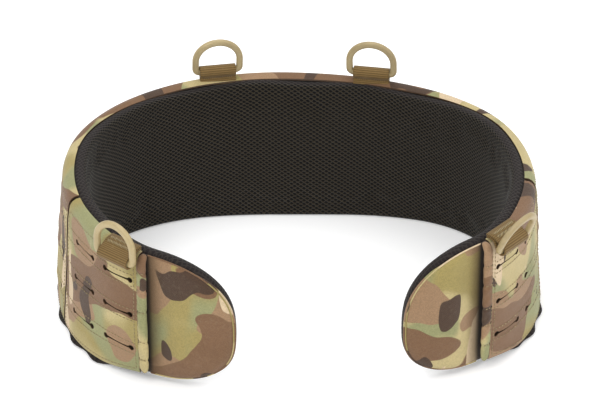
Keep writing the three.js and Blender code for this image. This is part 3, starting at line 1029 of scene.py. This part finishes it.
def make_tab(word, plane, *parts):
    """Webbing laid along a path of outward and upward millimetres from the ring's bar."""
    line = even_path(np.concatenate(parts), 0.8)
    width = 10

    def place(u, v):
        i = np.rint(v * (len(line) - 1)).astype(int)
        across = (u - 0.5) * TAB["width"]
        return np.stack([across, line[i, 0], line[i, 1]], axis=1)

    tab = flat_grid(f"webbing_{word}", width, len(line) - 1, place)
    modify(tab, "SOLIDIFY", thickness=TAB["thick"], offset=0, use_even_offset=True)
    modify(tab, "BEVEL", width=0.35, segments=2, limit_method="ANGLE", angle_limit=math.radians(60))
    points = points_of(tab)
    nearest = np.argmin(((points[:, None, 1:] - line[None]) ** 2).sum(2), axis=1)
    keep_pattern(tab, np.stack([points[:, 0], np.zeros(len(points)), nearest * 0.8], axis=1))
    centre, along, out = plane
    put_points(tab, (centre + points @ np.array([along, out, (0, 0, 1)])) * MM)
    finish(tab, WEBBING, stands_for=[f"tab_{word}"], sharp=50)


def bar_tack(name, plane, place, way, height, thread):
    """A dense zigzag of thread across a tab, at a place and along a way in the tab's plane."""
    centre, along, out = plane
    up = np.array([0, 0, 1.0])
    climb = way[0] * out + way[1] * up
    climb /= np.linalg.norm(climb)
    face = np.cross(climb, along)
    # It lies on top of a ply that runs inward, and on the outer side of one that stands.
    face *= np.sign(face @ (out + 0.3 * up)) if abs(way[0]) > 0.01 else np.sign(face @ out * place[0])
    count, width = 30, 19
    across = np.linspace(-width / 2, width / 2, count)
    places = centre + across[:, None] * along + place[0] * out + place[1] * up
    slant = np.where(np.arange(count) % 2, 0.35, -0.35)
    ways = climb + slant[:, None] * along
    model = make_stitch()
    put_points(model, points_of(model) * (height / 2.1, 0.95, 0.95))
    piece = copies(name, model, places, ways, np.tile(face, (count, 1)))
    bpy.data.objects.remove(model)
    put_points(piece, points_of(piece) * MM)
    finish(piece, thread)


def bar_loop(start, end, step):
    """The webbing's bend round the bar, at angles in degrees."""
    return [
        (TAB["bend"] * math.cos(math.radians(a)), TAB["bend"] * math.sin(math.radians(a)))
        for a in range(start, end, step)
    ]


def make_front_tab(word):
    """Two plies from the top seam over the edge, which close round the bar on the panel's face."""
    bar = bar_place("front", word)
    s, _, z = bar
    plane = bar_plane(bar)
    centre, _, out = plane
    _, high = edges_at(abs(s) - TAB["width"] / 2)

    def clear(m, h):
        """A place held off whatever stands out most over the tab's width."""
        across = [s + k * TAB["width"] / 2 for k in (-1, 0, 1)]
        reach = max(float((wrap([place, m, h])[0] + SHIFT - centre) @ out) for place in across)
        return (reach, h - z)

    loop = bar_loop(200, 421, 20)
    under = [clear(m, high + h) for m, h in ((-6.8, 0.7), (-3.4, 0.8), (-0.6, -0.6), (0.7, -3.4))]
    under.append(loop[0])
    over = [loop[-1]]
    over += [clear(m, high + h) for m, h in ((1.6, 0.7), (-0.6, 2.1), (-3.4, 2.6), (-6.8, 2.4))]
    make_tab(f"front_{word}", plane, rounded_path(under, 6)[:-1], loop, rounded_path(over, 6)[1:])
    for i, (a, b) in enumerate(((over[1], over[2]), (over[2], over[3]))):
        a, b = np.array(a), np.array(b)
        way = b - a
        normal = np.array([-way[1], way[0]]) / np.linalg.norm(way)
        normal *= np.sign(normal[1])
        bar_tack(f"bar_tack_{word}_{i}", plane, a + 0.62 * way + 0.95 * normal, way, 2.6, THREAD)


def make_back_tab(word):
    """Two plies that stand up from the top seam and close round the bar."""
    plane = bar_plane(bar_place("back", word))
    loop = bar_loop(228, -49, -18)
    apart = 0.95  # each ply's middle from the bar's plane
    foot = -BACK_BAR["rise"]
    inner = [(-apart - 1.6, foot - 4.5), (-apart - 0.7, foot - 0.5), (-apart - 0.3, foot + 1.4), loop[0]]
    outer = [loop[-1], (apart + 0.3, foot + 1.4), (apart, foot - 1)]
    make_tab(f"back_{word}", plane, rounded_path(inner, 6)[:-1], loop, rounded_path(outer, 6)[1:])
    bar_tack(f"bar_tack_back_{word}", plane, (-apart - 1.25, foot + 1.8), (0, 1), 2.2, BROWN_THREAD)


def ring_path(count):
    """The ring's centre line in its own plane: bar, corners, legs and arch, and its outward normals."""
    half = (RING["width"] - RING["bar"]) / 2
    top, leg, corner = RING["height"] - RING["bar"], RING["leg"], RING["corner"]
    turn = np.linspace(0.1, math.pi / 2, 10)
    arch = np.linspace(0.06, math.pi / 2, 28)
    right = [(x, 0.0) for x in np.linspace(0, half - corner, 8)]
    right += [(half - corner + corner * math.sin(a), corner - corner * math.cos(a)) for a in turn]
    right += [(half, y) for y in np.linspace(corner + 1, leg, 6)]
    right += [(half * math.cos(a), leg + (top - leg) * math.sin(a)) for a in arch]
    path = np.array(right + [(-x, y) for x, y in right[-2:0:-1]])
    even = even_path(np.vstack([path, path[:1]]), count=count)
    way = np.roll(even, -1, axis=0) - np.roll(even, 1, axis=0)
    way /= np.linalg.norm(way, axis=1)[:, None]
    return even, np.stack([way[:, 1], -way[:, 0]], axis=1)


def make_ring(word, bar, lean):
    """A D-ring of flattened wire, from a torus whose turns are laid along the ring's path."""
    turns = 96
    size = {"major_segments": turns, "minor_segments": 16, "major_radius": 10, "minor_radius": 2}
    ring = primitive(bpy.ops.mesh.primitive_torus_add, f"dring_{word}", **size)
    points = points_of(ring)
    angle = np.mod(np.arctan2(points[:, 1], points[:, 0]), 2 * math.pi)
    around = np.rint(angle / (2 * math.pi) * turns).astype(int) % turns
    across = (np.hypot(points[:, 0], points[:, 1]) - 10) / 2
    depth = points[:, 2] / 2
    across, depth = (
        np.sign(v) * np.abs(v) ** RING["squareness"] * width / 2
        for v, width in ((across, RING["bar"]), (depth, RING["thick"]))
    )
    path, normal = ring_path(turns)
    flat = path[around] + normal[around] * across[:, None]
    centre, along, out = bar_plane(bar)
    tilt = math.radians(lean)
    rise = np.array([0, 0, math.cos(tilt)]) - out * math.sin(tilt)
    face = out * math.cos(tilt) + np.array([0, 0, math.sin(tilt)])
    put_points(ring, (centre + flat[:, :1] * along + flat[:, 1:] * rise + depth[:, None] * face) * MM)
    in_edit(ring, OUTWARD)
    node = f"ring_{word}"
    finish(ring, COATED, body=node, stands_for=[node])


# Everything in its place

make_pad()
make_flap_cloth()

back_centres = [(i - (BACK_COLUMNS - 1) / 2) * COLUMN_PITCH for i in range(BACK_COLUMNS)]
SECTIONS = (
    ("back", -SECTION_SEAM + SLIT / 2, SECTION_SEAM - SLIT / 2, back_centres),
    ("left", -HEM_START, -SECTION_SEAM - SLIT / 2, [-s for s in SIDE_COLUMNS[::-1]]),
    ("right", SECTION_SEAM + SLIT / 2, HEM_START, SIDE_COLUMNS),
)
for section in SECTIONS:
    make_panel(*section)
make_panel_stitching(SECTIONS)

for word, side in SIDES.items():
    make_hem(side, word)
    make_piping(side, word)
    make_front_tab(word)
    make_back_tab(word)
    make_ring(f"front_{word}", bar_place("front", word), FRONT_BAR[word])
    make_ring(f"back_{word}", bar_place("back", word), BACK_BAR["lean"])
bpy.data.objects.remove(STITCH)


# Floor, lights and camera


def make_floor():
    floor = primitive(bpy.ops.mesh.primitive_plane_add, "studio_floor", size=12)
    floor.data.materials.append(floor_paint())


def aimed(name, data, place, aim):
    """A lamp or camera at a place, turned towards another."""
    thing = placed(name, data)
    thing.location = place
    thing.rotation_euler = (Vector(aim) - Vector(place)).to_track_quat("-Z", "Y").to_euler()
    return thing


def soft_light(name, place, size, power):
    light = bpy.data.lights.new(name, "AREA")
    light.size = size
    light.energy = power
    aimed(name, light, place, (0, 0, 0.05))


def make_camera():
    """The photograph looks down at 31 degrees from straight in front, with a long lens."""
    elevation, distance = math.radians(31), 2.5
    aim = Vector((SHIFT[0] * MM, SHIFT[1] * MM, 0.05))
    camera = bpy.data.cameras.new("camera")
    camera.lens = 225
    camera.sensor_width = 36
    place = aim + distance * Vector((0, -math.cos(elevation), math.sin(elevation)))
    bpy.context.scene.camera = aimed("camera", camera, place, aim)


make_floor()
soft_light("key", (-1.2, -1.6, 2.4), 1.8, 42)
soft_light("fill", (1.8, -1.2, 1.4), 2.2, 22)
soft_light("top", (0.2, 1.0, 2.6), 2.0, 26)
world = bpy.data.worlds.new("studio")
world.use_nodes = True
sky = world.node_tree.nodes["Background"].inputs
sky["Color"].default_value = (1, 1, 1, 1)
sky["Strength"].default_value = 0.75
bpy.context.scene.world = world
bpy.context.scene.view_settings.view_transform = "Standard"
make_camera()
